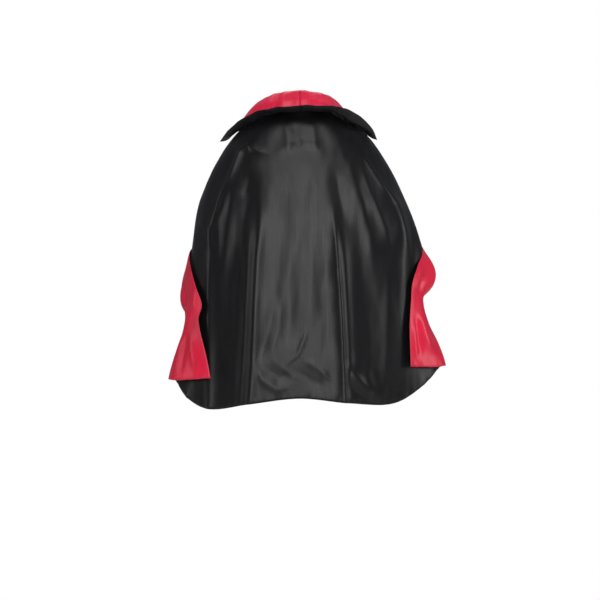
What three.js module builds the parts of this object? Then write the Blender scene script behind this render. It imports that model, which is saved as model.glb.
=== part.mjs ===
// Child's satin cape with a wide turned-out collar, draped as it is worn.
// Millimetres, +Z up, +Y is the wearer's front, +X the wearer's right.
// The origin is the centre of the neck opening, at the height of the neck seam.

import * as THREE from 'three';

// ---- driving dimensions -------------------------------------------------------------------

const CLOTH = 1.0;             // thickness of one layer of satin with its seam allowance
const LAYER_GAP = 0.4;         // from the middle surface of a double sheet to each layer
const SEAM_GAP = 0.5;          // half of the gap that sewn neighbours keep
const FOLD_GAP = 3.5;          // room that a turned-back flap keeps to its fold
const ROLL_GAP = 4.5;          // room that a collar wing keeps below the roll line
const STIFFENER_RIM = 0.95;    // the stiffener is trimmed back from the rim, so that it isn't sewn in
const STIFFENER = 0.8;         // thickness of the non-woven sheet inside the collar
const BAND_HEIGHT = 16;        // neckband
const BAND_THICKNESS = 2.0;
const BAND_INSET = 2.6;        // from the neck edge of the panels to the neckband
const BAND_TOP = 6;            // top edge of the neckband, above the neck seam
const TAB_LENGTH = 76;         // throat tab
const TAB_HEIGHT = 22;
const TAB_THICKNESS = 2.0;
const TAB_FACE_Y = 64;         // front face of the tab
const TAB_Z = -2;              // middle of the tab
const STRIP_LENGTH = 20;       // hook strip and loop strip
const STRIP_HEIGHT = 16;
const STRIP_THICKNESS = 1.2;
const STRIP_MARGIN = 3;        // from the tab's end to the hook strip
const STACK_GAP = 0.3;         // between the tab, the hook strip and the loop strip
const LABEL_SIZE = [24, 0.8, 14];
const LABEL_PLACE = [0, -49, -4];

const FOLD_START = 0.5;        // where the fold line leaves the front edge, from neck 0 to hem 1
const FLAP_TOP = 0.7;          // a turned-back flap moves below this
const HEM_FOLD_RIB = 2;        // ribs are counted from the front edge, here of the fold at the hem
const FLAP_WIDTH = 160;        // of the turned-back cloth at the hem, round the roll
const FLAP_CURVE = 0.88;       // below 1 the flap widens early
const FOLD_RADIUS = [8, 11];   // of the roll of cloth at the fold, at its start and at the hem
const WALK_STEP = 0.1;           // in ribs, when a length along the drape is measured
const RIDGE_RIB = 4;           // seam between front panel and back panel, over the elbow
const LAST_RIB = 12;
const WING_START = 1;          // where a collar wing starts, in collar ribs from the centre
const LAST_COLLAR_RIB = 8;
const ROLL = 0.3;              // the roll line of the collar, from seam 0 to rim 1

// Each rib is a line of cloth from the neck over shoulder, blade, arm, elbow and hand to the hem.

const CENTRE_BACK = [
  [0, -56, 0], [0, -86, -45], [0, -106, -125], [0, -118, -212], [0, -124, -300], [0, -129, -440],
  [0, -130, -624],
];

// The front ribs go on forward of the fold line, as the cloth would hang before it is turned back.

const LEFT_RIBS = {
  frontEdge: [
    [-14, 54, -6], [-62, 74, -62], [-142, 76, -170], [-194, 62, -238], [-231, 44, -314], [-246, 90, -436],
    [-262, 130, -581],
  ],
  flapMiddle: [
    [-46, 36, -3], [-96, 58, -55], [-168, 54, -150], [-214, 38, -222], [-237, 6, -306], [-250, 14, -436],
    [-284, 56, -588],
  ],
  fold: [
    [-56, 16, -1], [-126, 28, -45], [-186, 24, -136], [-222, 10, -212], [-232, -24, -302],
    [-240, -34, -438], [-277, -20, -592],
  ],
  side: [
    [-58, 0, 0], [-134, -4, -50], [-186, -14, -125], [-212, -26, -206], [-222, -46, -300],
    [-228, -58, -440], [-246, -64, -624],
  ],
  elbowRidge: [
    [-50, -26, 0], [-108, -48, -48], [-150, -72, -130], [-178, -80, -208], [-194, -86, -300],
    [-196, -90, -440], [-198, -96, -648],
  ],
  middleBack: [
    [-30, -48, 0], [-66, -78, -45], [-84, -102, -128], [-94, -116, -212], [-100, -123, -300],
    [-104, -128, -440], [-106, -129, -636],
  ],
};

const RIGHT_RIBS = {
  frontEdge: [
    [14, 54, -6], [64, 74, -62], [148, 76, -164], [206, 62, -228], [257, 44, -302], [272, 90, -422],
    [292, 130, -558],
  ],
  flapMiddle: [
    [46, 36, -3], [98, 58, -55], [176, 54, -148], [228, 38, -214], [263, 6, -294], [275, 14, -422],
    [314, 56, -560],
  ],
  fold: [
    [56, 16, -1], [129, 28, -47], [194, 24, -136], [234, 10, -206], [257, -24, -290], [262, -34, -424],
    [306, -20, -562],
  ],
  side: [
    [58, 0, 0], [139, -4, -51], [192, -14, -125], [224, -26, -202], [244, -46, -290], [246, -58, -430],
    [264, -62, -600],
  ],
  elbowRidge: [
    [50, -26, 0], [108, -48, -48], [156, -70, -132], [196, -78, -206], [218, -86, -292], [212, -91, -440],
    [200, -96, -636],
  ],
  middleBack: [
    [30, -48, 0], [66, -78, -45], [84, -102, -128], [92, -115, -212], [96, -122, -300], [98, -126, -440],
    [104, -129, -634],
  ],
};

// Each collar rib runs from the neck seam over the roll and the fall to the turned-up rim.

const COLLAR_CENTRE = [[0, -55, 10], [0, -61, 34], [0, -80, 14], [0, -97, -13], [0, -114, -4]];

const LEFT_COLLAR_RIBS = {
  frontEnd: [[-24, 53, 8], [-38, 57, 15], [-111, 48, -9], [-162, 26, -64], [-177, 30, -67]],
  shoulder: [[-47, 34, 9], [-64, 36, 21], [-108, 16, 2], [-142, -10, -52], [-157, -15, -47]],
  side: [[-57, 2, 10], [-68, 0, 26], [-92, -24, 8], [-106, -46, -35], [-120, -62, -24]],
  back: [[-41, -38, 10], [-48, -43, 30], [-60, -62, 10], [-69, -78, -20], [-81, -95, -11]],
};

const RIGHT_COLLAR_RIBS = {
  frontEnd: [[24, 53, 8], [38, 57, 15], [98, 46, -18], [158, 16, -60], [170, 20, -64]],
  shoulder: [[47, 34, 9], [64, 36, 20], [106, 14, -10], [147, -12, -48], [157, -14, -42]],
  side: [[57, 2, 10], [68, 0, 25], [92, -26, -2], [110, -48, -34], [124, -58, -17]],
  back: [[41, -38, 10], [48, -43, 29], [62, -62, 8], [74, -80, -17], [86, -92, -5]],
};

// ---- materials ----------------------------------------------------------------------------

const satin = (color) => new THREE.MeshStandardMaterial({ color, roughness: 0.38, metalness: 0 });
const blackSatin = satin('#1d1d20');
const redSatin = satin('#b3182f');
const stiffener = new THREE.MeshStandardMaterial({ color: '#e6e3dc', roughness: 0.9, metalness: 0 });
const blackBand = new THREE.MeshStandardMaterial({ color: '#17171a', roughness: 0.7, metalness: 0 });
const hookAndLoop = new THREE.MeshStandardMaterial({ color: '#121214', roughness: 0.95, metalness: 0 });
const labelWeave = new THREE.MeshStandardMaterial({ color: '#efece4', roughness: 0.6, metalness: 0 });

// ---- surfaces -----------------------------------------------------------------------------

function spline(points) {
  return new THREE.CatmullRomCurve3(points, false, 'centripetal');
}

function toCurve(rib) {
  return spline(rib.map((point) => new THREE.Vector3(...point)));
}

// A surface through ribs: place(u, v) has u in ribs and v from 0 at the neck to 1 at the free edge.
function loft(ribs) {
  const curves = ribs.map(toCurve);
  const last = curves.length - 1;
  const rows = new Map();
  function rowAt(v) {
    if (!rows.has(v)) {
      rows.set(v, spline(curves.map((curve) => curve.getPoint(v))));
    }
    return rows.get(v);
  }
  return (u, v) => rowAt(v).getPoint(Math.min(Math.max(u / last, 0), 1));
}

function slopes(place, u, v) {
  const step = 0.01;
  const before = { u: Math.max(u - step, 0), v: Math.max(v - step, 0) };
  const along = place(u + step, v).sub(place(before.u, v));
  const down = place(u, Math.min(v + step, 1)).sub(place(u, before.v));
  const normal = new THREE.Vector3().crossVectors(along, down).normalize();
  const widthPerRib = along.length() / (2 * step);
  const lengthOfRib = down.length() / (Math.min(v + step, 1) - before.v);
  return { normal, widthPerRib, lengthOfRib };
}

const drape = loft([...Object.values(LEFT_RIBS), CENTRE_BACK, ...Object.values(RIGHT_RIBS).reverse()]);
const collar = loft([
  ...Object.values(LEFT_COLLAR_RIBS),
  COLLAR_CENTRE,
  ...Object.values(RIGHT_COLLAR_RIBS).reverse(),
]);

// How far down the fold line v is, from 0 where it starts to 1 at the hem.
function foldPart(v) {
  return Math.max((v - FOLD_START) / (1 - FOLD_START), 0);
}

// The rib, counted from the front edge, at which the cloth folds back.
function foldRib(v) {
  return HEM_FOLD_RIB * foldPart(v);
}

// How many ribs a point lies inward of the fold, `length` mm along the drape from it.
function ribsInward(across, fold, v, length) {
  let ribs = 0;
  let left = length;
  let here = drape(across(fold), v);
  while (left > 0) {
    const next = drape(across(fold + ribs + WALK_STEP), v);
    const stride = here.distanceTo(next);
    ribs += WALK_STEP * Math.min(left / stride, 1);
    left -= stride;
    here = next;
  }
  return ribs;
}

// The drape with its front edge turned back: past the fold line the cloth goes round a roll
// and lies back over the layer under it. side is -1 for the wearer's left and 1 for the right.
function turnedBack(side, rib, v) {
  const across = (r) => (side < 0 ? r : LAST_RIB - r);
  const fold = foldRib(v);
  const loose = drape(across(rib), v);
  if (rib >= fold) {
    return loose;
  }
  const radius = THREE.MathUtils.lerp(...FOLD_RADIUS, foldPart(v));
  const past = (1 - rib / fold) * FLAP_WIDTH * foldPart(v) ** FLAP_CURVE;
  const turn = Math.min(past / radius, Math.PI);
  const back = Math.max(past - Math.PI * radius, 0);
  const foot = across(fold + ribsInward(across, fold, v, back));
  const { normal } = slopes(drape, foot, v);
  const forward = drape(across(fold - 0.1), v).sub(drape(across(fold), v)).normalize();
  const point = drape(foot, v).addScaledVector(forward, radius * Math.sin(turn));
  point.addScaledVector(normal, -radius * (1 - Math.cos(turn)));
  point.z = loose.z;
  return point;
}

function evenly(from, to, count) {
  return Array.from({ length: count + 1 }, (_, i) => from + ((to - from) * i) / count);
}

// ---- sheets -------------------------------------------------------------------------------

// A closed sheet between two offsets of a surface. `trim` holds the millimetres taken off at the
// first and last u and the first v; `keep` leaves cells out, so that a sheet can have a step in it.
function sheet({ place, us, vs, offsets, trim = {}, keep = () => true }) {
  const positions = [];
  const indices = [];
  const corners = new Map();

  function addCorner(i, j) {
    const key = `${i},${j}`;
    if (corners.has(key)) {
      return corners.get(key);
    }
    let u = us[i];
    let v = vs[j];
    const { widthPerRib, lengthOfRib } = slopes(place, u, v);
    if (i === 0) {
      u += (trim.first ?? 0) / widthPerRib;
    }
    if (i === us.length - 1) {
      u -= (trim.last ?? 0) / widthPerRib;
    }
    if (j === 0) {
      v += (trim.top ?? 0) / lengthOfRib;
    }
    const middle = place(u, v);
    const { normal } = slopes(place, u, v);
    const index = positions.length / 3;
    for (const offset of offsets) {
      positions.push(...middle.clone().addScaledVector(normal, offset).toArray());
    }
    corners.set(key, index);
    return index;
  }

  function addQuad(a, b, c, d) {
    indices.push(a, b, c, a, c, d);
  }

  const kept = (i, j) => i >= 0 && j >= 0 && i < us.length - 1 && j < vs.length - 1 && keep(us[i], vs[j]);
  for (let i = 0; i < us.length - 1; i += 1) {
    for (let j = 0; j < vs.length - 1; j += 1) {
      if (!kept(i, j)) {
        continue;
      }
      const a = addCorner(i, j);
      const b = addCorner(i + 1, j);
      const c = addCorner(i + 1, j + 1);
      const d = addCorner(i, j + 1);
      addQuad(a + 1, b + 1, c + 1, d + 1);
      addQuad(a, d, c, b);
      const sides = [[a, b, i, j - 1], [b, c, i + 1, j], [c, d, i, j + 1], [d, a, i - 1, j]];
      for (const [from, to, nextI, nextJ] of sides) {
        if (!kept(nextI, nextJ)) {
          addQuad(from, to, to + 1, from + 1);
        }
      }
    }
  }
  const geometry = new THREE.BufferGeometry();
  geometry.setAttribute('position', new THREE.Float32BufferAttribute(positions, 3));
  geometry.setIndex(indices);
  geometry.computeVertexNormals();
  return geometry;
}

// The two layers of the double cloth, on the outer and the inner side of a surface.
// On the drape the normal of slopes() points inwards, to the wearer.
const SHELL_OFFSETS = [-LAYER_GAP - CLOTH, -LAYER_GAP];
const LINING_OFFSETS = [LAYER_GAP, LAYER_GAP + CLOTH];

// On the collar the normal points to the outer side of the stand, which is under the fall.
const STIFFENER_OFFSETS = [-STIFFENER / 2, STIFFENER / 2];
const UNDER_OFFSETS = [STIFFENER / 2 + LAYER_GAP, STIFFENER / 2 + LAYER_GAP + CLOTH];
const FACING_OFFSETS = [-STIFFENER / 2 - LAYER_GAP - CLOTH, -STIFFENER / 2 - LAYER_GAP];

const cape = new THREE.Group();

function add(name, geometry, material) {
  const mesh = new THREE.Mesh(geometry, material.clone());
  mesh.name = name;
  cape.add(mesh);
  return mesh;
}

// ---- body of the cape ---------------------------------------------------------------------

const BACK_ROWS = evenly(0, 1, 14);
const FLAP_ROWS = evenly(FLAP_TOP, 1, 6);
const FRONT_ROWS = [
  ...evenly(0, FOLD_START, 8),
  ...evenly(FOLD_START, FLAP_TOP, 5).slice(1),
  ...FLAP_ROWS.slice(1),
];

function backPanel(offsets) {
  const us = evenly(RIDGE_RIB, LAST_RIB - RIDGE_RIB, 12);
  return sheet({ place: drape, us, vs: BACK_ROWS, offsets, trim: { first: SEAM_GAP, last: SEAM_GAP } });
}

// One side's front, with w from 0 at the front edge over 1 at the fold line to 2 at the back seam.
// On the right w runs the other way, so that both sides go from the wearer's left to the right.
function frontSurface(side) {
  return (w, v) => {
    const step = Math.max(side < 0 ? w : 2 - w, 0);
    const fold = foldRib(Math.max(v, FLAP_TOP));
    const rib = step < 1 ? step * fold : fold + (step - 1) * (RIDGE_RIB - fold);
    return turnedBack(side, rib, v);
  };
}

function fromEdge(side, steps) {
  return side < 0 ? steps : steps.map((step) => 2 - step).reverse();
}

function frontPanel(side, offsets) {
  const us = fromEdge(side, [...evenly(0, 1, 4), ...evenly(1, 2, 8).slice(1)]);
  const isFlap = (w, v) => v >= FLAP_TOP && (side < 0 ? w < 1 : w >= 1);
  const trim = side < 0 ? { last: SEAM_GAP } : { first: SEAM_GAP };
  const keep = (w, v) => !isFlap(w, v);
  return sheet({ place: frontSurface(side), us, vs: FRONT_ROWS, offsets, trim, keep });
}

function flap(side, offsets) {
  const us = fromEdge(side, evenly(0, 1, 10));
  const trim = side < 0 ? { last: FOLD_GAP, top: FOLD_GAP } : { first: FOLD_GAP, top: FOLD_GAP };
  return sheet({ place: frontSurface(side), us, vs: FLAP_ROWS, offsets, trim });
}

for (const [layer, offsets, material] of [
  ['shell', SHELL_OFFSETS, blackSatin],
  ['lining', LINING_OFFSETS, redSatin],
]) {
  add(`${layer}_back_panel`, backPanel(offsets), material);
  for (const [name, side] of [['left', -1], ['right', 1]]) {
    add(`${layer}_${name}_front_panel`, frontPanel(side, offsets), material);
    add(`${layer}_${name}_turnback`, flap(side, offsets), material);
  }
}

// ---- collar -------------------------------------------------------------------------------

const COLLAR_MIDDLE = LAST_COLLAR_RIB / 2;
const COLLAR_STEPS = [0, 0.08, 0.16, 0.23, ROLL, 0.38, 0.5, 0.62, 0.74, 0.86, 0.95, 1];

// The collar has a seam at the centre back. One half's stand goes from there round to the throat,
// with the short stretch of fall behind the neck. rim is where the layer ends, at most 1.
function collarStand(side, offsets, rim) {
  const end = COLLAR_MIDDLE + side * WING_START;
  const left = [...evenly(0, COLLAR_MIDDLE - WING_START, 7), COLLAR_MIDDLE - WING_START / 2, COLLAR_MIDDLE];
  const us = side < 0 ? left : left.map((u) => LAST_COLLAR_RIB - u).reverse();
  const keep = (u, v) => v < ROLL || (side < 0 ? u >= end : u < end);
  const trim = side < 0 ? { last: SEAM_GAP } : { first: SEAM_GAP };
  return sheet({ place: collar, us, vs: COLLAR_STEPS.filter((v) => v <= rim), offsets, keep, trim });
}

function collarWing(side, offsets, rim) {
  const end = COLLAR_MIDDLE + side * WING_START;
  const us = side < 0 ? evenly(0, end, 9) : evenly(end, LAST_COLLAR_RIB, 9);
  const vs = COLLAR_STEPS.filter((v) => v >= ROLL && v <= rim);
  const trim = side < 0 ? { last: FOLD_GAP, top: ROLL_GAP } : { first: FOLD_GAP, top: ROLL_GAP };
  return sheet({ place: collar, us, vs, offsets, trim });
}

for (const [layer, offsets, material, rim] of [
  ['under_collar', UNDER_OFFSETS, blackSatin, 1],
  ['collar_stiffener', STIFFENER_OFFSETS, stiffener, STIFFENER_RIM],
  ['collar_facing', FACING_OFFSETS, redSatin, 1],
]) {
  for (const [name, side] of [['left', -1], ['right', 1]]) {
    add(`${layer}_${name}_stand`, collarStand(side, offsets, rim), material);
    add(`${layer}_${name}_wing`, collarWing(side, offsets, rim), material);
  }
}

// ---- neckband, throat tab and label -------------------------------------------------------

// The neckband follows the neck edge of the panels, inside it.
function neckband() {
  const place = (u, v) => {
    const edge = drape(u, 0);
    return new THREE.Vector3(edge.x, edge.y, BAND_TOP - BAND_HEIGHT * (1 - v));
  };
  // going up instead of down, so here the normal points away from the wearer
  const offsets = [-BAND_INSET - BAND_THICKNESS, -BAND_INSET];
  return sheet({ place, us: evenly(0, LAST_RIB, 36), vs: [0, 0.5, 1], offsets });
}

function plate(size, centre) {
  return new THREE.BoxGeometry(...size).translate(...centre);
}

const tabMiddle = TAB_FACE_Y - TAB_THICKNESS / 2;
const hookMiddle = TAB_FACE_Y - TAB_THICKNESS - STACK_GAP - STRIP_THICKNESS / 2;
const loopMiddle = hookMiddle - STRIP_THICKNESS - STACK_GAP;
const stripX = TAB_LENGTH / 2 - STRIP_LENGTH / 2 - STRIP_MARGIN;
const stripSize = [STRIP_LENGTH, STRIP_THICKNESS, STRIP_HEIGHT];

add('neckband', neckband(), blackBand);
add('throat_tab', plate([TAB_LENGTH, TAB_THICKNESS, TAB_HEIGHT], [0, tabMiddle, TAB_Z]), blackSatin);
add('hook_strip', plate(stripSize, [stripX, hookMiddle, TAB_Z]), hookAndLoop);
add('loop_strip', plate(stripSize, [stripX, loopMiddle, TAB_Z]), hookAndLoop);
add('neck_label', plate(LABEL_SIZE, LABEL_PLACE), labelWeave);

export default cape;
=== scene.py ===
import math

import bmesh
import bpy
import numpy as np
from mathutils import Matrix, Vector, noise


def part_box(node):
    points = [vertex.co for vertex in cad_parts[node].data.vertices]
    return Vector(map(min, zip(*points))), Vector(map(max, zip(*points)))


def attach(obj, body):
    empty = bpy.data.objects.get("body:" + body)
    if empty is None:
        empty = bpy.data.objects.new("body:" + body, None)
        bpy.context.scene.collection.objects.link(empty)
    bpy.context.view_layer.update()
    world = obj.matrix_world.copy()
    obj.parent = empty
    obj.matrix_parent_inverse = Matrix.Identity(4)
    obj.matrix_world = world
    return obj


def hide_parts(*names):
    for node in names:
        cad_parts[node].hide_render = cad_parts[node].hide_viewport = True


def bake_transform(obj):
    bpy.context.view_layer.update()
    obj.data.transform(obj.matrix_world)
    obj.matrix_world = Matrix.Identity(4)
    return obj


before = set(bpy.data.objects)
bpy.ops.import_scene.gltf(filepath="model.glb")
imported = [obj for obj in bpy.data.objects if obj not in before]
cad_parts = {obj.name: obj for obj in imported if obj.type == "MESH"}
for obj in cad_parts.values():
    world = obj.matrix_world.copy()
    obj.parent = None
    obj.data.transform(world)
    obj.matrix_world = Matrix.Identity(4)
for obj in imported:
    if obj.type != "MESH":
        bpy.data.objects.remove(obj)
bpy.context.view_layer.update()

# A child's satin cape with a wide turned-out collar, as it hangs on its wearer.
# Lengths are written in millimetres and turned to metres by MM. +Y is the wearer's front.

MM = 0.001

# ---- the drape -------------------------------------------------------------------------------

# The cloth hangs through ribs, which run from the neck to the hem. The frame's panels have the
# same ribs. They are counted from the wearer's left front edge.
RIDGE_RIB = 4            # the seam between a front panel and the back panel
LAST_RIB = 12
FOLD_START = 0.628       # where the fold line leaves the front edge, from neck 0 to hem 1
HEM_FOLD_RIB = 2         # where the fold line reaches the hem, counted in from the front edge
FOLD_CURVE = 0.62        # below 1 the fold line leaves the edge quickly
FLAP_WIDTH = 160         # of the turned-back cloth at the hem
FOLD_RADIUS = (8, 11)    # of the roll of cloth at the fold, at its start and at the hem

# Where a hand holds each turned-back front, from neck 0 to hem 1, and what it does to the cloth:
# it bellies out above the hand and is gathered at it. Keyed by side, -1 left and 1 right.
GRIP = {-1: 0.860, 1: 0.828}
BELLY = {-1: 9, 1: 17}           # how far the fold line moves out above the hand
GATHER = {-1: 15, 1: 20}         # how far it moves in at the hand
FLARE = {-1: -7, 1: -2}          # how far it moves out at the hem
WAIST = {-1: 0.18, 1: 0.03}      # by what share the flap is narrower at the hand
SWELL = {-1: 0.06, 1: 0.26}      # by what share it is wider above the hand
HEM_WIDTH = {-1: 1.09, 1: 0.89}  # its width at the hem, as a share of FLAP_WIDTH
BELLY_RISE = 0.075               # the belly is this far above the hand, in v
BELLY_SPAN = 0.055               # and fades over this much above and below that
GRIP_SPAN = (0.026, 0.080)       # how far the hand gathers the cloth above it and below it, in v
FLATTENED = 0.3                  # by what share the roll is smaller at the hand and at the belly
FLAP_REACH = 26                  # how far from the fold line the hand moves the flap
UNDER_REACH = 48                 # and the cloth under it
CREASE = 0.4                     # the smallest radius of the fold, where the flap has no width yet
FLAP_TO_ROLL = 20                # further on, the roll grows by 1 mm for each 20 mm of flap
RIBS_IN = np.linspace(0, 5, 120)     # lengths along a row are measured at these ribs in from the fold
JUST_OUT = 0.1                   # in ribs: the way the cloth runs at the fold is taken over this much

CENTRE_BACK = [
    (0, -56, 0), (0, -86, -45), (0, -106, -125), (0, -118, -212),
    (0, -124, -300), (0, -129, -440), (0, -130, -624),
]

LEFT_RIBS = [
    [(-14, 54, -6), (-62, 74, -62), (-142, 76, -170), (-194, 62, -238),
     (-231, 44, -314), (-246, 90, -436), (-262, 130, -581)],
    [(-46, 36, -3), (-96, 58, -55), (-168, 54, -150), (-214, 38, -222),
     (-237, 6, -306), (-250, 14, -436), (-284, 56, -588)],
    [(-56, 16, -1), (-126, 28, -45), (-186, 24, -136), (-222, 10, -212),
     (-232, -24, -302), (-240, -34, -438), (-277, -20, -592)],
    [(-58, 0, 0), (-134, -4, -50), (-186, -14, -125), (-212, -26, -206),
     (-222, -46, -300), (-228, -58, -440), (-246, -64, -624)],
    [(-50, -26, 0), (-108, -48, -48), (-150, -72, -130), (-178, -80, -208),
     (-194, -86, -300), (-196, -90, -440), (-198, -96, -648)],
    [(-30, -48, 0), (-66, -78, -45), (-84, -102, -128), (-94, -116, -212),
     (-100, -123, -300), (-104, -128, -440), (-106, -129, -636)],
]

RIGHT_RIBS = [
    [(14, 54, -6), (64, 74, -62), (148, 76, -164), (206, 62, -228),
     (257, 44, -302), (272, 90, -422), (292, 130, -558)],
    [(46, 36, -3), (98, 58, -55), (176, 54, -148), (228, 38, -214),
     (263, 6, -294), (275, 14, -422), (314, 56, -560)],
    [(56, 16, -1), (129, 28, -47), (194, 24, -136), (234, 10, -206),
     (257, -24, -290), (262, -34, -424), (306, -20, -562)],
    [(58, 0, 0), (139, -4, -51), (192, -14, -125), (224, -26, -202),
     (244, -46, -290), (246, -58, -430), (264, -62, -600)],
    [(50, -26, 0), (108, -48, -48), (156, -70, -132), (196, -78, -206),
     (218, -86, -292), (212, -91, -440), (200, -96, -636)],
    [(30, -48, 0), (66, -78, -45), (84, -102, -128), (92, -115, -212),
     (96, -122, -300), (98, -126, -440), (104, -129, -634)],
]

COLLAR_CENTRE = [(0, -55, 10), (0, -61, 34), (0, -80, 14), (0, -97, -13), (0, -114, -4)]

LEFT_COLLAR_RIBS = [
    [(-24, 53, 8), (-38, 57, 15), (-111, 48, -9), (-162, 26, -64), (-177, 30, -67)],
    [(-47, 34, 9), (-64, 36, 21), (-108, 16, 2), (-142, -10, -52), (-157, -15, -47)],
    [(-57, 2, 10), (-68, 0, 26), (-92, -24, 8), (-106, -46, -35), (-120, -62, -24)],
    [(-41, -38, 10), (-48, -43, 30), (-60, -62, 10), (-69, -78, -20), (-81, -95, -11)],
]

RIGHT_COLLAR_RIBS = [
    [(24, 53, 8), (38, 57, 15), (98, 46, -18), (158, 16, -60), (170, 20, -64)],
    [(47, 34, 9), (64, 36, 20), (106, 14, -10), (147, -12, -48), (157, -14, -42)],
    [(57, 2, 10), (68, 0, 25), (92, -26, -2), (110, -48, -34), (124, -58, -17)],
    [(41, -38, 10), (48, -43, 29), (62, -62, 8), (74, -80, -17), (86, -92, -5)],
]

# ---- splines and surfaces --------------------------------------------------------------------


def spline(points, t):
    """Points on a centripetal Catmull-Rom spline, for t from 0 to 1 over all its stations."""
    p = np.asarray(points, float)
    ends = np.vstack([2 * p[0] - p[1], p, 2 * p[-1] - p[-2]])
    place = np.clip(np.asarray(t, float), 0, 1) * (len(p) - 1)
    span = np.minimum(place.astype(int), len(p) - 2)
    w = (place - span)[:, None]
    a, b, c, d = (ends[span + k] for k in range(4))
    pairs = ((a, b), (b, c), (c, d))
    ab, bc, cd = (np.sqrt(np.linalg.norm(q - r, axis=1))[:, None] + 1e-9 for r, q in pairs)
    start = ((b - a) / ab - (c - a) / (ab + bc) + (c - b) / bc) * bc
    end = ((c - b) / bc - (d - b) / (bc + cd) + (d - c) / cd) * bc
    return b + start * w + (3 * (c - b) - 2 * start - end) * w**2 + (2 * (b - c) + start + end) * w**3


class Loft:
    """A surface through ribs: at(u, v) has u in ribs, as an array, and one v from neck to edge."""

    def __init__(self, ribs):
        self.ribs = [np.array(rib, float) for rib in ribs]
        self.rows = {}

    def at(self, u, v):
        key = round(v, 6)
        if key not in self.rows:
            self.rows[key] = np.vstack([spline(rib, [key]) for rib in self.ribs])
        return spline(self.rows[key], np.atleast_1d(u) / (len(self.ribs) - 1))

    def normal(self, u, v, step=0.01):
        """The outward normal, as an array."""
        u = np.atleast_1d(u).astype(float)
        low_u, high_u = np.maximum(u - step, 0), np.minimum(u + step, len(self.ribs) - 1)
        along = self.at(high_u, v) - self.at(low_u, v)
        low_v, high_v = max(v - step, 0), min(v + step, 1)
        down = self.at(u, high_v) - self.at(u, low_v)
        normal = np.cross(down, along)
        return normal / (np.linalg.norm(normal, axis=1)[:, None] + 1e-12)


drape = Loft([*LEFT_RIBS, CENTRE_BACK, *RIGHT_RIBS[::-1]])
collar = Loft([*LEFT_COLLAR_RIBS, COLLAR_CENTRE, *RIGHT_COLLAR_RIBS[::-1]])


def fold_part(v):
    """How far down the fold line v is, from 0 where it starts to 1 at the hem."""
    return max((v - FOLD_START) / (1 - FOLD_START), 0)


def fold_rib(v):
    """Where the fold line crosses row v, in ribs from the front edge."""
    return HEM_FOLD_RIB * fold_part(v) ** FOLD_CURVE


def bump(distance, width):
    """1 at no distance, falling to nothing over about twice the width."""
    return np.exp(-(np.asarray(distance, float) / width) ** 2)


def turned_back(side, rib, v):
    """One row of a front: past the fold line the cloth goes round a roll and lies back on itself."""
    def across(r):
        return r if side < 0 else LAST_RIB - r

    part = fold_part(v)
    fold = fold_rib(v)
    loose = drape.at(across(rib), v)
    if part <= 0:
        return loose
    below = v - GRIP[side]
    belly = float(bump(below + BELLY_RISE, BELLY_SPAN))
    pinch = float(bump(below, GRIP_SPAN[0] if below < 0 else GRIP_SPAN[1]))
    width = FLAP_WIDTH * part**FOLD_CURVE * (1 - WAIST[side] * pinch + SWELL[side] * belly)
    width *= 1 + (HEM_WIDTH[side] - 1) * part
    radius = FOLD_RADIUS[0] + (FOLD_RADIUS[1] - FOLD_RADIUS[0]) * part
    radius *= 1 - FLATTENED * (pinch + belly)
    radius = min(radius, CREASE + width / FLAP_TO_ROLL)
    past = np.clip(1 - rib / fold, 0, 1) * width
    turn = np.minimum(past / radius, math.pi)
    back = np.maximum(past - math.pi * radius, 0)
    # the flap lies back over the cloth for its own length, measured along the row
    stride = np.linalg.norm(np.diff(drape.at(across(fold + RIBS_IN), v), axis=0), axis=1)
    length_in = np.concatenate([[0], np.cumsum(stride)])
    foot = across(fold + np.interp(back, length_in, RIBS_IN))
    forward = drape.at(across(fold - JUST_OUT), v) - drape.at(across(fold), v)
    forward /= np.linalg.norm(forward)
    rolled = drape.at(foot, v) + forward * (radius * np.sin(turn))[:, None]
    rolled += drape.normal(foot, v) * (radius * (1 - np.cos(turn)))[:, None]
    rolled[:, 2] = loose[:, 2]
    row = np.where((rib < fold)[:, None], rolled, loose)
    inboard = np.interp(np.maximum(rib - fold, 0), RIBS_IN, length_in)
    away = np.where(rib < fold, back / FLAP_REACH, inboard / UNDER_REACH)
    moved = BELLY[side] * belly - GATHER[side] * pinch + FLARE[side] * part
    row[:, 0] += side * moved * bump(away, 1)
    return row


def body_row(steps, v):
    """A row of the whole cape. steps go 0 left edge, 1 fold, 2 seam, 4 seam, 5 fold, 6 right edge."""
    fold = fold_rib(v)
    from_edge = np.minimum(steps, 6 - steps)
    rib = np.where(from_edge < 1, from_edge * fold, fold + (from_edge - 1) * (RIDGE_RIB - fold))
    left = turned_back(-1, rib, v)
    right = turned_back(1, rib, v)
    back = drape.at(RIDGE_RIB + (steps - 2) * (LAST_RIB - 2 * RIDGE_RIB) / 2, v)
    row = np.where((steps < 2)[:, None], left, back)
    return np.where((steps > 4)[:, None], right, row)


# ---- folds in the cloth ----------------------------------------------------------------------

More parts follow.
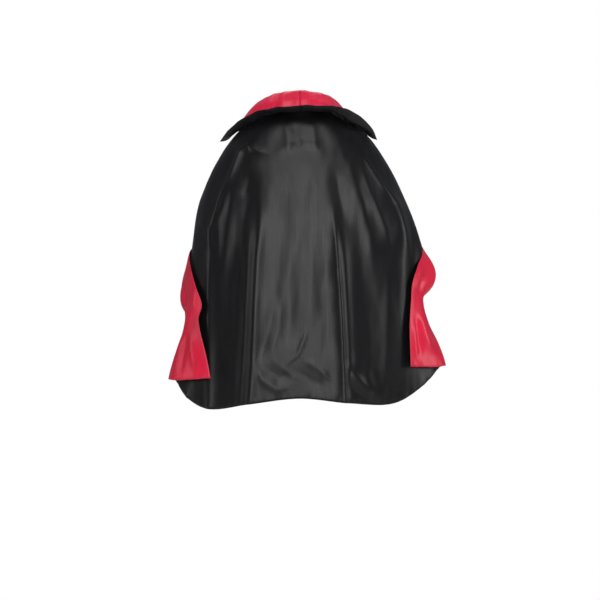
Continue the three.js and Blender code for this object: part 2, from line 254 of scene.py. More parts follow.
# Each fold is its height in mm, standing out if positive, its width in mm, and the (x, z) points
# in mm that it runs through, as seen from behind.
BACK_FOLDS = [
    # the left arm: a ridge hooks over the shoulder and runs down to the elbow, among soft hollows
    (4.5, 8, (-58, -107), (-90, -99), (-111, -84), (-126, -96), (-144, -142), (-166, -184), (-194, -260)),
    (3, 7, (-226, -266), (-209, -250), (-196, -266), (-194, -320)),
    (4, 9, (-194, -270), (-195, -400), (-194, -560), (-195, -646)),
    (-4, 17, (-84, -130), (-106, -190), (-120, -260), (-126, -360)),
    (3, 13, (-128, -150), (-148, -215), (-158, -290), (-164, -390)),
    (-3, 12, (-150, -180), (-174, -245), (-178, -340)),
    (-2, 9, (-104, -140), (-112, -175), (-122, -205)),
    (2.2, 3.5, (-60, -108), (-90, -100), (-111, -86), (-126, -98), (-143, -142), (-160, -175)),
    (1.6, 3.5, (-160, -175), (-178, -222), (-194, -262), (-196, -300)),
    # the left edge of the flat of the back, and the long hollow beside it
    (7, 14, (-78, -170), (-88, -290), (-92, -330), (-96, -424), (-100, -522), (-108, -640)),
    (-4, 12, (-104, -210), (-110, -320), (-116, -424), (-122, -522), (-130, -640)),
    (-8, 44, (-128, -190), (-142, -320), (-150, -424), (-156, -522), (-164, -640)),
    # the right edge of it, a narrow crest, and the hollow beside it
    (4, 10, (66, -180), (76, -300), (84, -430), (88, -520), (92, -640)),
    (3, 4, (68, -200), (78, -300), (87, -430), (91, -520), (97, -640)),
    (-2, 22, (52, -240), (58, -420), (62, -580)),
    (-3.5, 10, (86, -210), (96, -340), (104, -480), (110, -640)),
    (-7, 42, (112, -190), (134, -340), (144, -480), (148, -640)),
    # the right arm
    (5, 5, (116, -42), (131, -56), (150, -80), (156, -92)),
    (2.2, 3.5, (128, -98), (153, -143), (176, -176), (200, -206)),
    (5.5, 11, (112, -76), (126, -96), (153, -142), (180, -180), (206, -212), (222, -268), (238, -350)),
    (-5, 15, (120, -110), (144, -170), (166, -215), (186, -262), (200, -340)),
    (3.5, 16, (92, -100), (112, -160), (132, -215), (148, -275), (156, -370)),
    (-2.5, 13, (70, -120), (80, -170), (88, -220), (98, -270)),
    (-2.5, 12, (172, -100), (190, -150), (214, -190), (232, -230)),
    (3, 16, (186, -330), (188, -440), (184, -560), (176, -636)),
    # across the shoulder blades
    (2.5, 16, (-84, -120), (-36, -88), (0, -74), (30, -84), (66, -122)),
    (-2, 10, (-16, -30), (-8, -60), (-2, -96)),
    (1.8, 9, (-34, -30), (-26, -60), (-24, -110)),
    (1.8, 9, (20, -26), (28, -58), (34, -104)),
    # below the waist: slanting creases, and two shallow folds that run down to them
    (-1.4, 14, (-52, -400), (-68, -490), (-92, -556)),
    (1.0, 10, (-34, -400), (-46, -480), (-66, -545)),
    (2.2, 8, (-98, -540), (-80, -584), (-49, -604), (-10, -600)),
    (-1.6, 9, (-84, -550), (-44, -580), (0, -566)),
    (1.2, 4, (-66, -530), (-30, -566), (24, -596)),
    (-1.5, 12, (-20, -560), (26, -588), (66, -600)),
    (1.4, 6, (0, -540), (34, -556), (72, -590)),
    (1.2, 4, (20, -470), (-4, -530), (-40, -560)),
    (3.5, 9, (98, -540), (112, -572), (132, -592), (158, -614)),
    (-2.5, 8, (104, -590), (122, -612), (136, -630)),
    (2, 8, (108, -560), (112, -596), (104, -628)),
    (2, 10, (150, -552), (162, -586), (168, -622)),
    (-2, 18, (-20, -280), (-24, -400), (-18, -530)),
    (1.5, 14, (20, -220), (26, -360), (22, -510)),
]
# The flaps show the lining: creases spread from where the hand holds them.
LEFT_FLAP_FOLDS = [
    (-6, 7, (-236, -452), (-248, -420), (-254, -388), (-250, -362)),
    (3.5, 6, (-229, -448), (-224, -412), (-222, -384)),
    (4, 8, (-234, -478), (-230, -520), (-216, -580)),
    (-4, 8, (-238, -480), (-250, -525), (-258, -588)),
    (3, 7, (-243, -482), (-268, -535), (-276, -580)),
]
RIGHT_FLAP_FOLDS = [
    (-6, 6, (252, -408), (262, -386), (266, -362)),
    (3.5, 6, (246, -404), (252, -376), (262, -340)),
    (6, 11, (252, -434), (264, -480), (286, -540)),
    (-4, 6, (247, -440), (252, -490), (262, -545)),
    (3, 5, (244, -460), (246, -500), (248, -548)),
    (-3, 7, (276, -470), (292, -510), (306, -545)),
]
# The fronts fall in soft flutes from the shoulder to the folded edge, alike on both sides.
FRONT_FOLDS = [
    (height, width, *((side * x, z) for x, z in path))
    for side in (-1, 1)
    for height, width, *path in (
        (5, 12, (50, -60), (116, -150), (180, -260), (206, -430)),
        (-4, 12, (72, -84), (150, -200), (198, -320), (226, -450)),
        (3, 9, (96, -66), (170, -160), (214, -250), (240, -330)),
    )
]


FADE = 0.35              # the share of its length over which a fold comes and goes
FLANK = 1.6              # the higher, the steeper the sides of a fold
HEM_REACH = -600         # a fold ending below this goes on to the hem


def ease(t):
    """0 below 0, 1 above 1 and a smooth step between."""
    t = np.clip(t, 0, 1)
    return t * t * (3 - 2 * t)


def fold_heights(points, table):
    """How far the folds of a table lift each point of a grid, in mm."""
    place = points[..., (0, 2)]
    lift = np.zeros(points.shape[:2])
    for height, width, *path in table:
        path = np.array(path, float)
        stretches = np.linalg.norm(np.diff(path, axis=0), axis=1)
        start = np.concatenate([[0], np.cumsum(stretches)])
        nearest = np.full(lift.shape, 1e9)
        run = np.zeros(lift.shape)
        for k, stretch in enumerate(stretches):
            line = (path[k + 1] - path[k]) / stretch
            along = np.clip((place - path[k]) @ line, 0, stretch)
            gap = np.linalg.norm(place - path[k] - along[..., None] * line, axis=-1)
            closer = gap < nearest
            nearest = np.where(closer, gap, nearest)
            run = np.where(closer, start[k] + along, run)
        to_end = run if path[-1][1] < HEM_REACH else np.minimum(run, start[-1] - run)
        lift += height * ease(to_end / (FADE * start[-1])) * np.exp(-(nearest / width) ** FLANK)
    return lift


def unevenness(points, across, down, seed):
    """Slow random waves from -1 to 1, about across mm wide and down mm long."""
    scaled = points.reshape(-1, 3) / (across, across, down) + (seed, 0, 0)
    waves = [noise.noise(Vector(place)) for place in scaled]
    return np.array(waves).reshape(points.shape[:2])


# ---- grids of cloth --------------------------------------------------------------------------

SATIN = 0.4              # thickness of one layer of satin
LAYER = 0.5              # from the middle of the double cloth to the middle of a layer
SEWN_EDGE = 5            # the layers come together over this much at a sewn edge
HEM_STITCH = 9           # topstitching above the hem
EDGE_STITCH = 5          # topstitching inside the front edges and the collar's rim
PITCH = 3.6              # from one stitch to the next
STITCH = 2.7             # the length of a stitch
THREAD = 0.5             # the thickness of the thread
AIM = 0.5                # a stitch points along its path over this much on each side of its middle
WELD = 0.02              # points closer than this become one


def evenly(*stops):
    """Numbers from stop to stop: evenly(0, 4, 1) has 4 steps from 0 to 1. More pairs go on from there."""
    numbers = [stops[0]]
    for count, stop in zip(stops[1::2], stops[2::2]):
        numbers += list(np.linspace(numbers[-1], stop, count + 1)[1:])
    return np.array(numbers)


def grid_normals(points):
    """The outward normal at each point of a grid."""
    along = np.gradient(points, axis=1)
    down = np.gradient(points, axis=0)
    normal = np.cross(down, along)
    return normal / (np.linalg.norm(normal, axis=2, keepdims=True) + 1e-12)


def flat_lengths(points, centre):
    """How far each point of a grid is along its row from the centre column, and down its rib, in mm."""
    along = np.linalg.norm(np.diff(points, axis=1), axis=2)
    along = np.hstack([np.zeros((len(points), 1)), np.cumsum(along, axis=1)])
    along -= along[:, centre:centre + 1]
    down = np.linalg.norm(np.diff(points, axis=0), axis=2)
    down = np.vstack([np.zeros((1, points.shape[1])), np.cumsum(down, axis=0)])
    return along, down


def cut(sheet, rows, columns):
    """A part of a sheet. A sheet is a dict of grids: points and normals, how far the layers are
    apart as a share, and each point's place along and down the flat cloth."""
    return {key: grid[rows][:, columns] for key, grid in sheet.items()}


def cloth_piece(name, sheet, offset, thickness, material):
    """A layer of a sheet, moved out by offset. It is as thick as its cloth, and the layers come
    together at a sewn edge."""
    rows, columns = sheet["points"].shape[:2]
    mesh = bmesh.new()
    bmesh.ops.create_grid(mesh, x_segments=columns - 1, y_segments=rows - 1, size=1)
    sewn = math.copysign(thickness / 2, offset)
    offsets = sewn + (offset - sewn) * sheet["apart"]
    placed = (sheet["points"] + sheet["normals"] * offsets[..., None]) * MM
    uv = mesh.loops.layers.uv.new("flat")
    where = {}
    for vert in mesh.verts:
        column = round((vert.co.x + 1) / 2 * (columns - 1))
        row = round((1 - vert.co.y) / 2 * (rows - 1))
        where[vert] = (row, column)
    for vert, (row, column) in where.items():
        vert.co = placed[row, column]
    for face in mesh.faces:
        for loop in face.loops:
            row, column = where[loop.vert]
            loop[uv].uv = (sheet["along"][row, column] * MM, sheet["down"][row, column] * MM)
    bmesh.ops.remove_doubles(mesh, verts=mesh.verts, dist=WELD * MM)
    piece = finish_mesh(name, mesh, material)
    wall = piece.modifiers.new("cloth thickness", "SOLIDIFY")
    wall.thickness = thickness * MM
    wall.offset = 0
    return piece


def finish_mesh(name, mesh, material):
    """A smooth-shaded object from a mesh that has been built."""
    data = bpy.data.meshes.new(name)
    mesh.to_mesh(data)
    mesh.free()
    for polygon in data.polygons:
        polygon.use_smooth = True
    data.materials.append(material)
    piece = bpy.data.objects.new(name, data)
    bpy.context.scene.collection.objects.link(piece)
    return piece


def declare_sheet(points):
    """Measures a sheet along and down its own threads, which is its cut size. Nothing more is done with
    the lengths.
    """
    along, down = flat_lengths(points, 0)


def reached(target, distances, values):
    """The values, one row a point, where the rising distances along a line reach the target."""
    return [np.interp(target, distances, column) for column in values.T]


def stitches(name, paths, material):
    """Topstitching: short thread floats, half sunk in the cloth. Each path is (points, normals) in mm."""
    mesh = bmesh.new()
    for points, normals in paths:
        gaps = np.linalg.norm(np.diff(points, axis=0), axis=1)
        run = np.concatenate([[0], np.cumsum(gaps)])
        for at in np.arange(PITCH / 2, run[-1], PITCH):
            middle = Vector(reached(at, run, points))
            ahead = Vector(reached(at + AIM, run, points))
            behind = Vector(reached(at - AIM, run, points))
            out = Vector(reached(at, run, normals)).normalized()
            along = (ahead - behind).normalized()
            side = along.cross(out).normalized()
            turn = Matrix((along, side, along.cross(side))).transposed().to_4x4()
            size = Matrix.Diagonal((STITCH / 2, THREAD / 2, THREAD / 2, 1))
            place = Matrix.Scale(MM, 4) @ Matrix.Translation(middle) @ turn @ size
            bmesh.ops.create_uvsphere(mesh, u_segments=6, v_segments=5, radius=1, matrix=place)
    bmesh.ops.recalc_face_normals(mesh, faces=mesh.faces)
    return finish_mesh(name, mesh, material)


def plate(name, node_name, corner, edge, material):
    """A rounded plate in the place of a frame node, flat across Y."""
    low, high = (Vector(c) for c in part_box(node_name))
    mesh = bmesh.new()
    bmesh.ops.create_cube(mesh, size=1)
    bmesh.ops.scale(mesh, vec=high - low, verts=mesh.verts)
    bmesh.ops.translate(mesh, vec=(low + high) / 2, verts=mesh.verts)
    uprights = [e for e in mesh.edges if abs(e.verts[0].co.y - e.verts[1].co.y) > (high.y - low.y) / 2]
    bmesh.ops.bevel(mesh, geom=uprights, offset=corner * MM, segments=6, profile=0.5, affect="EDGES",
                    material=-1)
    faces = [f for f in mesh.faces if abs(f.normal.y) > 0.9]
    rim = [e for f in faces for e in f.edges]
    bmesh.ops.bevel(mesh, geom=rim, offset=edge * MM, segments=3, profile=0.5, affect="EDGES", material=-1)
    uv = mesh.loops.layers.uv.new("flat")
    for face in mesh.faces:
        for loop in face.loops:
            loop[uv].uv = (loop.vert.co.x, loop.vert.co.z)
    piece = finish_mesh(name, mesh, material)
    for polygon in piece.data.polygons:
        polygon.use_smooth = abs(polygon.normal.y) < 0.999
    return piece


# ---- materials -------------------------------------------------------------------------------

WAVE = 2 * math.pi / 20  # a wave texture of scale 1 repeats after this length


def srgb(text):
    """An sRGB hex colour as the linear numbers that a shader takes."""
    channels = [int(text[i:i + 2], 16) / 255 for i in (1, 3, 5)]
    return [c / 12.92 if c <= 0.04045 else ((c + 0.055) / 1.055) ** 2.4 for c in channels] + [1]


def node(material, kind, settings=(), **inputs):
    """Adds a node. settings are its own properties; inputs are values, or sockets to link."""
    added = material.node_tree.nodes.new(kind)
    for key, value in dict(settings).items():
        setattr(added, key, value)
    for key, value in inputs.items():
        socket = added.inputs[int(key[1:]) if key[1:].isdigit() else key.replace("_", " ")]
        if isinstance(value, bpy.types.NodeSocket):
            material.node_tree.links.new(value, socket)
        else:
            socket.default_value = value
    return added


def new_material(name):
    """A material with no nodes yet."""
    material = bpy.data.materials.new(name)
    material.use_nodes = True
    material.node_tree.nodes.clear()
    return material


def satin(name, dark, light, roughness, sheen, mirror):
    """Warp-faced polyester satin: long floating threads give a soft gloss that is a little
    streaky along the warp, and the dye is uneven, so the colour wanders between two close tones."""
    m = new_material(name)
    flat = node(m, "ShaderNodeUVMap", {"uv_map": "flat"}).outputs["UV"]
    # the dye wanders over about 110 mm
    cloud = node(m, "ShaderNodeTexNoise", Vector=flat, Scale=9.0, Detail=3.0)
    # slubs run along the warp, 2.5 mm wide and 150 mm long, and across it, 60 mm long
    warp_way = node(m, "ShaderNodeMapping", Vector=flat, Scale=(400.0, 6.5, 1.0))
    warp_slub = node(m, "ShaderNodeTexNoise", Vector=warp_way.outputs[0], Scale=1.0, Detail=3.0)
    weft_way = node(m, "ShaderNodeMapping", Vector=flat, Scale=(16.0, 380.0, 1.0))
    weft_slub = node(m, "ShaderNodeTexNoise", Vector=weft_way.outputs[0], Scale=1.0, Detail=2.0)
    slub = node(m, "ShaderNodeMix", {"data_type": "FLOAT"}, _0=0.3, _2=warp_slub.outputs[0],
                _3=weft_slub.outputs[0])
    tone = node(m, "ShaderNodeMix", {"data_type": "FLOAT"}, _0=0.55, _2=cloud.outputs[0],
                _3=slub.outputs[0])
    spread = node(m, "ShaderNodeMapRange", Value=tone.outputs[0], _1=0.3, _2=0.7)
    colour = node(m, "ShaderNodeMix", {"data_type": "RGBA"}, _0=spread.outputs[0], _6=srgb(dark),
                  _7=srgb(light))
    # warp threads are 0.2 mm apart; they are drawn 1.2 mm apart, which is as fine as shows
    warp = node(m, "ShaderNodeTexWave", {"wave_profile": "SIN"}, Vector=flat, Scale=WAVE / (1.2 * MM),
                Distortion=0.6, Detail=1.0)
    weave = node(m, "ShaderNodeBump", Strength=0.12, Distance=0.0001, Height=warp.outputs["Fac"])
    # the floats pick up light in grains about 3 mm across
    grain = node(m, "ShaderNodeTexNoise", Vector=flat, Scale=330.0, Detail=2.0)
    grained = node(m, "ShaderNodeBump", Strength=0.35, Distance=0.0005, Height=grain.outputs[0],
                   Normal=weave.outputs[0])
    uneven = node(m, "ShaderNodeBump", Strength=0.20, Distance=0.0005, Height=slub.outputs[0],
                  Normal=grained.outputs[0])
    gloss = node(m, "ShaderNodeMapRange", Value=tone.outputs[0], _1=0.3, _2=0.7, _3=roughness + 0.04,
                 _4=roughness - 0.04)
    shader = node(m, "ShaderNodeBsdfPrincipled", Base_Color=colour.outputs[2], Roughness=gloss.outputs[0],
                  Normal=uneven.outputs[0], Sheen_Weight=sheen, Sheen_Roughness=0.4,
                  Specular_IOR_Level=mirror)
    node(m, "ShaderNodeOutputMaterial", Surface=shader.outputs[0])
    return m


def woven_tape(name, dark, light, pitch, angle, roughness):
    """Narrow woven tape: rows of raised threads at an angle, matt. Its colour is painted light on the tops
    of the rows and painted shade between them, with a little random fuzz mixed in.
    """
    m = new_material(name)
    flat = node(m, "ShaderNodeUVMap", {"uv_map": "flat"}).outputs["UV"]
    turned = node(m, "ShaderNodeMapping", Vector=flat, Rotation=(0.0, 0.0, angle))
    twill = node(m, "ShaderNodeTexWave", {"wave_profile": "SIN"}, Vector=turned.outputs[0],
                 Scale=WAVE / (pitch * MM), Distortion=1.0, Detail=2.0)
    fuzz = node(m, "ShaderNodeTexNoise", Vector=flat, Scale=900.0, Detail=2.0)
    tone = node(m, "ShaderNodeMix", {"data_type": "FLOAT"}, _0=0.35, _2=twill.outputs["Fac"],
                _3=fuzz.outputs[0])
    # painted shade: the colour is lighter on the tops of the raised rows and darker in the grooves between
    # them
    colour = node(m, "ShaderNodeMix", {"data_type": "RGBA"}, _0=tone.outputs[0], _6=srgb(dark),
                  _7=srgb(light))
    bump = node(m, "ShaderNodeBump", Strength=0.6, Distance=0.0003, Height=tone.outputs[0])
    shader = node(m, "ShaderNodeBsdfPrincipled", Base_Color=colour.outputs[2], Roughness=roughness,
                  Normal=bump.outputs[0], Sheen_Weight=0.15)
    node(m, "ShaderNodeOutputMaterial", Surface=shader.outputs[0])
    return m


def felted(name, dark, light, grain, depth, roughness):
    """Tangled fibres, as in loop tape or non-woven: matt, with fine cells of shadow."""
    m = new_material(name)
    place = node(m, "ShaderNodeTexCoord").outputs["Object"]
    cells = node(m, "ShaderNodeTexVoronoi", Vector=place, Scale=1 / (grain * MM))
    fibres = node(m, "ShaderNodeTexNoise", Vector=place, Scale=2.2 / (grain * MM), Detail=3.0)
    tone = node(m, "ShaderNodeMix", {"data_type": "FLOAT"}, _0=0.5, _2=cells.outputs["Distance"],
                _3=fibres.outputs[0])
    colour = node(m, "ShaderNodeMix", {"data_type": "RGBA"}, _0=tone.outputs[0], _6=srgb(dark),
                  _7=srgb(light))
    bump = node(m, "ShaderNodeBump", Strength=0.8, Distance=depth * MM, Height=tone.outputs[0])
    shader = node(m, "ShaderNodeBsdfPrincipled", Base_Color=colour.outputs[2], Roughness=roughness,
                  Normal=bump.outputs[0], Sheen_Weight=0.2)
    node(m, "ShaderNodeOutputMaterial", Surface=shader.outputs[0])
    return m


def spun_thread(name, dark, light):
    """Sewing thread: two plies twisted together, with a slight lustre. Its colour is painted lighter on
    the plies and darker in the grooves between them, which is painted shade.
    """
    m = new_material(name)
    place = node(m, "ShaderNodeTexCoord").outputs["Object"]
    turned = node(m, "ShaderNodeMapping", Vector=place, Rotation=(0.4, 0.7, 0.5))
    ply = node(m, "ShaderNodeTexWave", {"wave_profile": "SIN"}, Vector=turned.outputs[0],
               Scale=WAVE / (0.5 * MM))
    # painted shade: the colour darkens in the grooves between the plies and is lighter on their crests
    colour = node(m, "ShaderNodeMix", {"data_type": "RGBA"}, _0=ply.outputs["Fac"], _6=srgb(dark),
                  _7=srgb(light))
    bump = node(m, "ShaderNodeBump", Strength=0.5, Distance=0.0001, Height=ply.outputs["Fac"])
    shader = node(m, "ShaderNodeBsdfPrincipled", Base_Color=colour.outputs[2], Roughness=0.5,
                  Normal=bump.outputs[0])
    node(m, "ShaderNodeOutputMaterial", Surface=shader.outputs[0])
    return m


black_satin = satin("black polyester satin", "#070708", "#101013", 0.37, 0.02, 0.27)
red_satin = satin("red polyester satin", "#b00a2b", "#e0163f", 0.38, 0.03, 0.4)
under_satin = satin("black satin under collar", "#070709", "#101013", 0.40, 0.02, 0.26)
facing_satin = satin("red satin collar facing", "#b80d30", "#e61c49", 0.38, 0.04, 0.45)
tab_satin = satin("black satin throat tab", "#09090b", "#141417", 0.42, 0.02, 0.26)
neck_tape = woven_tape("black twill tape", "#0c0c0d", "#26262a", 1.1, 0.8, 0.8)
label_weave = woven_tape("white woven label", "#cfcabd", "#f3f0e8", 0.7, 0.0, 0.6)
hook_tape = felted("black nylon hook tape", "#09090a", "#1f1f22", 0.9, 0.3, 0.55)
loop_tape = felted("black brushed loop tape", "#0b0b0c", "#2a2a2e", 0.7, 0.4, 0.95)
interfacing = felted("white non-woven interfacing", "#d3d0c8", "#efece5", 1.6, 0.1, 0.9)
black_thread = spun_thread("black polyester thread", "#0c0c0e", "#2a2a2e")
red_thread = spun_thread("red polyester thread", "#a81c34", "#cf4058")

# ---- the body of the cape --------------------------------------------------------------------

# How the folds and waves fade near the fold line, in steps: 0 left edge, 1 fold, 2 seam, 4 seam,
# 5 fold, 6 right edge.
BACK_FADE = 0.18
FRONT_FADE = 0.3
WAVE_FADE = 0.2
FLAP_FADE = 0.25
FACING = 0.25            # a fold has its full height where the outward normal has this much y
PUCKER = 0.30            # the stitched hem draws up into small puckers this high
PUCKER_REACH = 11        # and this far above the hem
PUCKER_SIZES = (3.1, 4.7, 7.9)   # in mm of hem to a radian: the puckers are waves of three lengths

steps = evenly(0, 36, 1, 50, 2, 120, 4, 50, 5, 36, 6)
drops = evenly(0, 112, FOLD_START, 84, 1)
drape_grid = np.array([body_row(steps, v) for v in drops])
outward = grid_normals(drape_grid)
from_fold = np.minimum(steps, 6 - steps) - 1
at_back = ease(-outward[..., 1] / FACING)
at_front = ease(outward[..., 1] / FACING)
on_flap = ease(-from_fold / FLAP_FADE)
off_fold = ease(from_fold / WAVE_FADE)

# the folds fade out at the fold line, so that a front panel and its flap meet
lift = fold_heights(drape_grid, BACK_FOLDS) * at_back * ease(from_fold / BACK_FADE)
lift += fold_heights(drape_grid, FRONT_FOLDS) * at_front * ease(from_fold / FRONT_FADE)
# a flap's cloth faces the other way, so there a fold that stands out is a lower lift
lift -= fold_heights(drape_grid, LEFT_FLAP_FOLDS) * on_flap * (steps < 1)
lift -= fold_heights(drape_grid, RIGHT_FLAP_FOLDS) * on_flap * (steps > 5)
# slow waves and smaller ones, each by its height, width, length and seed, and where they are
for height, wide, long, seed, where in (
    (2.0, 50, 200, 3.0, off_fold),
    (0.45, 16, 50, 9.0, off_fold),
    (1.0, 26, 60, 5.0, on_flap),
):
    lift += height * unevenness(drape_grid, wide, long, seed) * where

body_grid = drape_grid + outward * lift[..., None]
along, down = flat_lengths(body_grid, int(np.argmin(abs(steps - 3))))
above_hem = down[-1] - down
inside_edge = np.minimum(along - along[:, :1], along[:, -1:] - along)
pucker = sum(np.sin(along / size + 2 * k) for k, size in enumerate(PUCKER_SIZES))
body_grid += outward * (PUCKER * pucker * bump(above_hem, PUCKER_REACH))[..., None]
body_normals = grid_normals(body_grid)
apart = ease(np.minimum(np.minimum(above_hem, inside_edge), down) / SEWN_EDGE)
body = {"points": body_grid, "normals": body_normals, "apart": apart, "along": along, "down": down}
body_lines = np.concatenate([body_grid, body_normals], axis=2)

# Each sheet has its rows and columns of the grid, and the frame's panels that it stands for.
SHEETS = {
    "body": (drops >= 0, (steps >= 1) & (steps <= 5),
             ("back_panel", "left_front_panel", "right_front_panel")),
    "left_flap": (drops >= FOLD_START, steps <= 1, ("left_turnback",)),
    "right_flap": (drops >= FOLD_START, steps >= 5, ("right_turnback",)),
}
FIRST_STITCH = 6         # the front edges are stitched from this far below the neck
EDGE_SUNK = 0.8          # the layers come together there, so the thread lies this share of the way out


def move_with(piece, name):
    """The body rides on the root. A flap has its place baked into its mesh and rides on nothing."""
    if name == "body":
        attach(piece, "root")
    else:
        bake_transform(piece)


def beside(lines, side, reach):
    """A path and its normals, reach mm out from points and normals, on one side of the cloth."""
    points, normals = lines[:, :3], lines[:, 3:]
    return points + normals * side * reach, normals * side


def along_hem(columns, side):
    """A path HEM_STITCH above the hem, on the shell for side 1 or on the lining for side -1."""
    rises = above_hem[::-1, columns].T
    lines = body_lines[::-1, columns].transpose(1, 0, 2)
    path = [reached(HEM_STITCH, rise, line) for rise, line in zip(rises, lines)]
    return beside(np.array(path), side, LAYER + SATIN / 2)


def along_edge(at_left, side):
    """A path EDGE_STITCH inside a front edge, from the neck to the hem."""
    order = slice(None) if at_left else slice(None, None, -1)
    inside = along - along[:, :1] if at_left else along[:, -1:] - along
    path = [reached(EDGE_STITCH, row, line) for row, line in zip(inside[:, order], body_lines[:, order])]
    below_neckband = down[:, 0] > FIRST_STITCH
    return beside(np.array(path)[below_neckband], side, (LAYER + SATIN / 2) * EDGE_SUNK)


for layer, side, material, thread in (
    ("shell", 1, black_satin, black_thread),
    ("lining", -1, red_satin, red_thread),
):
    for name, (rows, columns, panels) in SHEETS.items():
        sheet = cut(body, rows, columns)
        piece = cloth_piece(f"{layer}_{name}", sheet, side * LAYER, SATIN, material)
        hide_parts(*(f"{layer}_{panel}" for panel in panels))
        paths = [along_hem(columns, side)]
        if name != "body":
            paths.append(along_edge(name == "left_flap", side))
        seam = stitches(f"{layer}_{name}_stitches", paths, thread)
        move_with(piece, name)
        move_with(seam, name)
        declare_sheet(sheet["points"])

# ---- the collar ------------------------------------------------------------------------------

STIFFENER_ROOM = 0.8     # what the layers leave between them for the stiff sheet
STIFFENER = 0.24         # its thickness
STIFFENER_RIM = 0.95     # it stops short of the sewn rim
CENTRE_SEAM = 3          # how wide the layers dip at the centre back seam
COLLAR_REACH = STIFFENER_ROOM / 2 + SATIN   # from the middle of the collar to the middle of a layer
SEAM_CLEAR = (2, 3)      # rows and columns of the grid by which the stiff sheet clears its seams
COLLAR_STITCH = 8        # the front ends are stitched from this far above the neck
RIM_SUNK = 0.9           # how far out the thread lies there, as a share of the layers' own way out
STAND = (0.12, 0.3)      # the stand is smooth up to here, and wrinkles set in over this much, in v

# Wrinkles that run from the neck to the rim: height in mm, and place and width in ribs.
COLLAR_FOLDS = [
    (-2.2, 3.72, 0.16), (1.6, 3.42, 0.10), (-1.2, 3.2, 0.10), (1.2, 4.2, 0.10),
    (-1.6, 4.45, 0.12), (1.4, 4.8, 0.14), (-1.6, 5.15, 0.10), (1.5, 2.8, 0.14),
    (-1.5, 2.4, 0.16), (-1.2, 5.7, 0.16), (1.4, 1.7, 0.2), (1.2, 6.2, 0.2),
]
WRINKLED = 0.8           # how much of those heights this cloth takes
COLLAR_WAVES = ((1.0, 26, 26, 2.0), (0.5, 7, 30, 6.0))   # height, width, length and seed

collar_steps = evenly(0, 70, 4, 70, 8)
collar_drops = evenly(0, 20, 0.3, 46, 1)
collar_grid = np.array([collar.at(collar_steps, v) for v in collar_drops])
fall = ease((collar_drops - STAND[0]) / STAND[1])[:, None]
rise = np.zeros(collar_grid.shape[:2])
for height, where, width in COLLAR_FOLDS:
    rise += height * fall * bump(collar_steps - where, width)
rise *= WRINKLED
for height, wide, long, seed in COLLAR_WAVES:
    rise += height * unevenness(collar_grid, wide, long, seed) * fall
collar_grid += grid_normals(collar_grid) * rise[..., None]
collar_normals = grid_normals(collar_grid)
collar_along, collar_down = flat_lengths(collar_grid, 70)
to_rim = collar_down[-1] - collar_down
to_end = np.minimum(collar_along - collar_along[:, :1], collar_along[:, -1:] - collar_along)
to_edge = np.minimum(np.minimum(to_rim, to_end) / SEWN_EDGE, abs(collar_along) / CENTRE_SEAM)
collar_apart = ease(np.minimum(to_edge, collar_down / SEWN_EDGE))
collar_sheet = {"points": collar_grid, "normals": collar_normals, "apart": collar_apart,
                "along": collar_along, "down": collar_down}


def along_rim(part, left, side, reach):
    """Paths EDGE_STITCH inside the rim and inside the front end of a collar half."""
    lines = np.concatenate([part["points"], part["normals"]], axis=2)
    order = slice(None) if left else slice(None, None, -1)
    to_rim = part["down"][-1] - part["down"]
    to_end = part["along"] - part["along"][:, :1] if left else part["along"][:, -1:] - part["along"]
    rim = [reached(EDGE_STITCH, away, line)
           for away, line in zip(to_rim[::-1].T, lines[::-1].transpose(1, 0, 2))]
    rim = np.array(rim)[to_end[-2] > EDGE_STITCH]
    end = [reached(EDGE_STITCH, away, line) for away, line in zip(to_end[:, order], lines[:, order])]
    above_neckband = part["down"][:, 0] > COLLAR_STITCH
    end = np.array(end)[(to_rim[:, 0 if left else -1] > EDGE_STITCH) & above_neckband]
    return [beside(path, side, reach) for path in (rim, end)]


def turn_with_collar(piece):
    """A collar half has its place baked into its mesh and rides on nothing."""
    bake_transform(piece)


for layer, side, thick, material, slot, thread in (
    ("under_collar", -1, SATIN, under_satin, "under_collar_satin", black_thread),
    ("collar_stiffener", 0, STIFFENER, interfacing, "collar_stiffener", None),
    ("collar_facing", 1, SATIN, facing_satin, "facing_satin", red_thread),
):
    for half, left in (("left", True), ("right", False)):
        columns = collar_steps <= 4 if left else collar_steps >= 4
        part = cut(collar_sheet, collar_drops <= (1 if side else STIFFENER_RIM), columns)
        if not side:                            # the stiff sheet stays clear of every seam
            part = cut(part, slice(SEAM_CLEAR[0], None), slice(SEAM_CLEAR[1], -SEAM_CLEAR[1]))
            part["apart"] = np.ones(part["down"].shape)
        piece = cloth_piece(f"{layer}_{half}", part, side * COLLAR_REACH, thick, material)
        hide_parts(f"{layer}_{half}_stand", f"{layer}_{half}_wing")
        if side:
            paths = along_rim(part, left, side, COLLAR_REACH * RIM_SUNK + SATIN / 2)
            seam = stitches(f"{layer}_{half}_stitches", paths, thread)
            turn_with_collar(seam)
        turn_with_collar(piece)
        declare_sheet(part["points"])

# ---- neckband, throat tab, fastening and label -----------------------------------------------

BAND_INSET = 3.6         # from the neck edge to the middle of the neckband
BAND = (6, -10)          # its top and bottom edge
BAND_THICK = 1.8
BAND_EDGE = 0.6          # how far its edges are rounded

edge = drape.at(evenly(0, 150, LAST_RIB), 0)
band_heights = evenly(BAND[0], 8, BAND[1])
band_grid = np.array([np.column_stack([edge[:, :2], np.full(len(edge), z)]) for z in band_heights])
band_along, band_down = flat_lengths(band_grid, 75)
band = {"points": band_grid, "normals": grid_normals(band_grid), "along": band_along,
        "down": band_down, "apart": np.ones(band_grid.shape[:2])}
tape = cloth_piece("neckband_tape", band, -BAND_INSET, BAND_THICK, neck_tape)
soft = tape.modifiers.new("rolled edge", "BEVEL")
soft.width = BAND_EDGE * MM
soft.segments = 2
soft.angle_limit = math.radians(50)
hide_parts("neckband")
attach(tape, "root")
declare_sheet(band_grid)

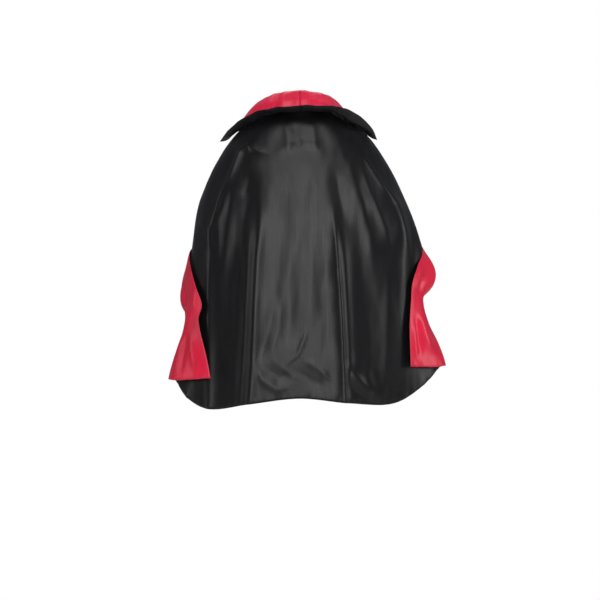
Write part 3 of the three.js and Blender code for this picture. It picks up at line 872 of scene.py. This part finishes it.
for name, slot, moves_with, corner, edge_round, material in (
    ("throat_tab", "throat_tab_satin", "closure", 5, 0.8, tab_satin),
    ("hook_strip", "hook_tape", "closure", 2, 0.3, hook_tape),
    ("loop_strip", "loop_tape", "root", 2, 0.3, loop_tape),
    ("neck_label", "label_weave", "root", 0.8, 0.2, label_weave),
):
    piece = plate(f"{name}_piece", name, corner, edge_round, material)
    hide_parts(name)
    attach(piece, moves_with)


def stitched_border(name, node_name, inset, thread):
    """A rectangle of topstitching on the front face of a plate."""
    low, high = (np.array(c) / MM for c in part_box(node_name))
    left, right, bottom, top = low[0] + inset, high[0] - inset, low[2] + inset, high[2] - inset
    corners = [(left, bottom), (right, bottom), (right, top), (left, top), (left, bottom)]
    path = np.array([(x, high[1], z) for x, z in corners])
    normals = np.tile((0.0, 1.0, 0.0), (len(path), 1))
    return stitches(name, [(path, normals)], thread)


for name, slot, moves_with, inset, thread in (
    ("throat_tab", "throat_tab_satin", "closure", 3, black_thread),
    ("neck_label", "label_weave", "root", 1.6, red_thread),
):
    seam = stitched_border(f"{name}_stitches", name, inset, thread)
    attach(seam, moves_with)

# ---- floor, light and camera -----------------------------------------------------------------
# Everything here is in metres and watts.

FLOOR = -1.055           # the wearer's feet are this far below the neck seam
FLOOR_RADIUS = 40        # so wide that its edge lies on the horizon
ROOM_GLOW = 0.12         # how strongly the room itself lights the cape
EYE = (0, -3.5, -0.416)
LENS = 96                # in mm


def white_room():
    """The backdrop is white to the camera and only dimly lights the cape."""
    world = bpy.data.worlds.new("white studio")
    bpy.context.scene.world = world
    world.use_nodes = True
    tree = world.node_tree
    tree.nodes.clear()
    seen = tree.nodes.new("ShaderNodeBackground")
    seen.inputs["Color"].default_value = (1, 1, 1, 1)
    around = tree.nodes.new("ShaderNodeBackground")
    around.inputs["Color"].default_value = (0.92, 0.95, 1, 1)
    around.inputs["Strength"].default_value = ROOM_GLOW
    path = tree.nodes.new("ShaderNodeLightPath")
    mix = tree.nodes.new("ShaderNodeMixShader")
    out = tree.nodes.new("ShaderNodeOutputWorld")
    tree.links.new(path.outputs["Is Camera Ray"], mix.inputs[0])
    tree.links.new(around.outputs[0], mix.inputs[1])
    tree.links.new(seen.outputs[0], mix.inputs[2])
    tree.links.new(mix.outputs[0], out.inputs[0])


def pale_floor():
    """A floor that is as white to the camera as the backdrop, so that no horizon shows."""
    mesh = bmesh.new()
    bmesh.ops.create_circle(mesh, cap_ends=True, segments=96, radius=FLOOR_RADIUS)
    bmesh.ops.translate(mesh, verts=mesh.verts, vec=(0, 0, FLOOR))
    m = new_material("pale painted floor")
    paint = node(m, "ShaderNodeBsdfDiffuse", Color=(0.8, 0.8, 0.8, 1))
    lit = node(m, "ShaderNodeEmission", Color=(1, 1, 1, 1), Strength=1.0)
    seen = node(m, "ShaderNodeLightPath").outputs["Is Camera Ray"]
    shader = node(m, "ShaderNodeMixShader", _0=seen, _1=paint.outputs[0], _2=lit.outputs[0])
    node(m, "ShaderNodeOutputMaterial", Surface=shader.outputs[0])
    finish_mesh("floor", mesh, m)


def softbox(name, place, target, size, power):
    """A rectangular lamp at a place, aimed at a target."""
    light = bpy.data.lights.new(name, "AREA")
    light.shape = "RECTANGLE"
    light.size, light.size_y = size
    light.energy = power
    lamp = bpy.data.objects.new(name, light)
    lamp.location = place
    lamp.rotation_euler = (Vector(target) - Vector(place)).to_track_quat("-Z", "Y").to_euler()
    bpy.context.scene.collection.objects.link(lamp)


white_room()
pale_floor()
# the tall key lights the flat of the back, and the sides only catch the edges of the folds
softbox("key", (0.05, -3.3, 0.15), (0, 0, -0.35), (0.9, 2.2), 52)
softbox("overhead", (0, -2.1, 2.0), (0, 0, -0.1), (2.4, 1.3), 42)
softbox("left side", (-2.6, -0.5, 0.2), (-0.2, 0, -0.4), (0.7, 1.6), 11)
softbox("right side", (2.6, -0.6, 0.2), (0.2, 0, -0.4), (0.7, 1.6), 24)
softbox("front", (0, 1.5, 2.4), (0, 0, -0.2), (2.0, 1.0), 30)

scene = bpy.context.scene
scene.view_settings.view_transform = "Standard"
lens = bpy.data.cameras.new("camera")
lens.lens = LENS
camera = bpy.data.objects.new("camera", lens)
camera.location = EYE
camera.rotation_euler = (math.pi / 2, 0, 0)
scene.collection.objects.link(camera)
scene.camera = camera
